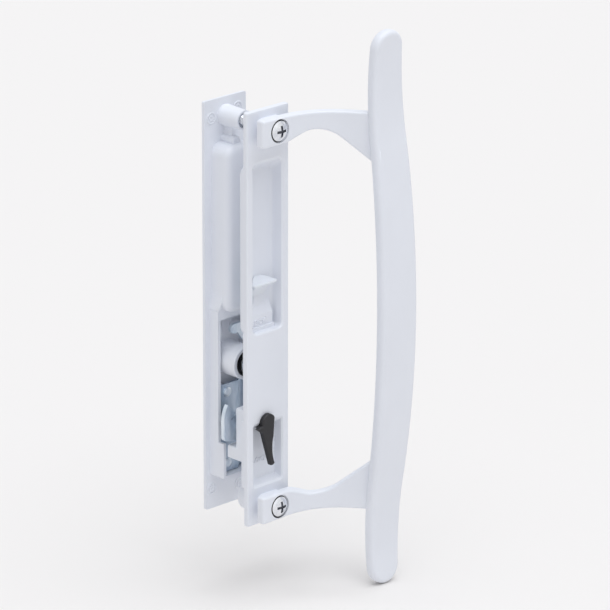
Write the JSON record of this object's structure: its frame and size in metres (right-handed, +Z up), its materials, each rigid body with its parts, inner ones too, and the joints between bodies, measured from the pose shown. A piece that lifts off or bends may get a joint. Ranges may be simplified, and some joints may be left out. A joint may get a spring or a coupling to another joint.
{
  "type": "sliding patio door handle",
  "caption": "Bowed pull handle on arms, narrow plates either side of the door, finger cups, thumb slide, turning lever, swinging hook latch and outside key cylinder.",
  "frame": {"origin": "on the door's room-side face, midway between the two mounting screws", "axes": "+Z up along the plates, -Y towards the room, +Y to the outside, -X towards the jamb that the hook enters, +X towards the grip bar"},
  "size_m": [0.0655, 0.0676, 0.2488],
  "materials": {
    "white_casting": "white powder coat",
    "white_moulding": "satin white",
    "black_moulding": "fine spark-eroded black",
    "zinc_plated_steel": "bright zinc plating",
    "bright_screw": "nickel plated",
    "nickel_plated_brass": "satin nickel plating",
    "black_spring_steel": "black oxide"
  },
  "bodies": {
    "handle_set": {"interior_plate": "white_casting", "exterior_plate": "white_casting", "pull_handle": "white_casting", "upper_mounting_screw": "bright_screw", "lower_mounting_screw": "bright_screw", "cylinder_body": "nickel_plated_brass", "cylinder_clip": "black_spring_steel", "cylinder_bracket": "zinc_plated_steel", "bracket_screw": "zinc_plated_steel", "lock_case": "zinc_plated_steel", "case_screws": "zinc_plated_steel", "hook_pivot": "zinc_plated_steel", "hook_washer": "zinc_plated_steel", "hook_spring": "black_spring_steel"},
    "slide": {"thumb_slide": "white_moulding", "slide_clip": "zinc_plated_steel", "slide_bar": "zinc_plated_steel", "slide_screw": "zinc_plated_steel"},
    "lever": {"thumb_lever": "black_moulding", "lever_washer": "zinc_plated_steel", "drive_arm": "zinc_plated_steel", "drive_pin": "zinc_plated_steel"},
    "hook": {"hook_latch": "zinc_plated_steel"},
    "plug": {"cylinder_plug": "nickel_plated_brass", "cylinder_cam": "zinc_plated_steel"}
  },
  "joints": [
    {"name": "slide_travel", "type": "slide", "parent": "handle_set", "child": "slide", "axis": [0, 0, -1], "range_m": [0, 0.0035]},
    {"name": "lever_turn", "type": "hinge", "parent": "handle_set", "child": "lever", "pos_m": [-0.0015, 0, -0.0473], "axis": [0, 1, 0], "range_deg": [0, 30]},
    {"name": "hook_swing", "type": "hinge", "parent": "handle_set", "child": "hook", "pos_m": [-0.004, 0.0116, -0.05163], "axis": [0, 1, 0], "range_deg": [0, 64]},
    {"name": "plug_turn", "type": "hinge", "parent": "handle_set", "child": "plug", "pos_m": [0, 0.018, -0.024], "axis": [0, 1, 0], "range_deg": [0, 90]}
  ],
  "couplings": [
    {"joint": "hook_swing", "follows": "lever_turn", "ratio": 2.12}
  ]
}
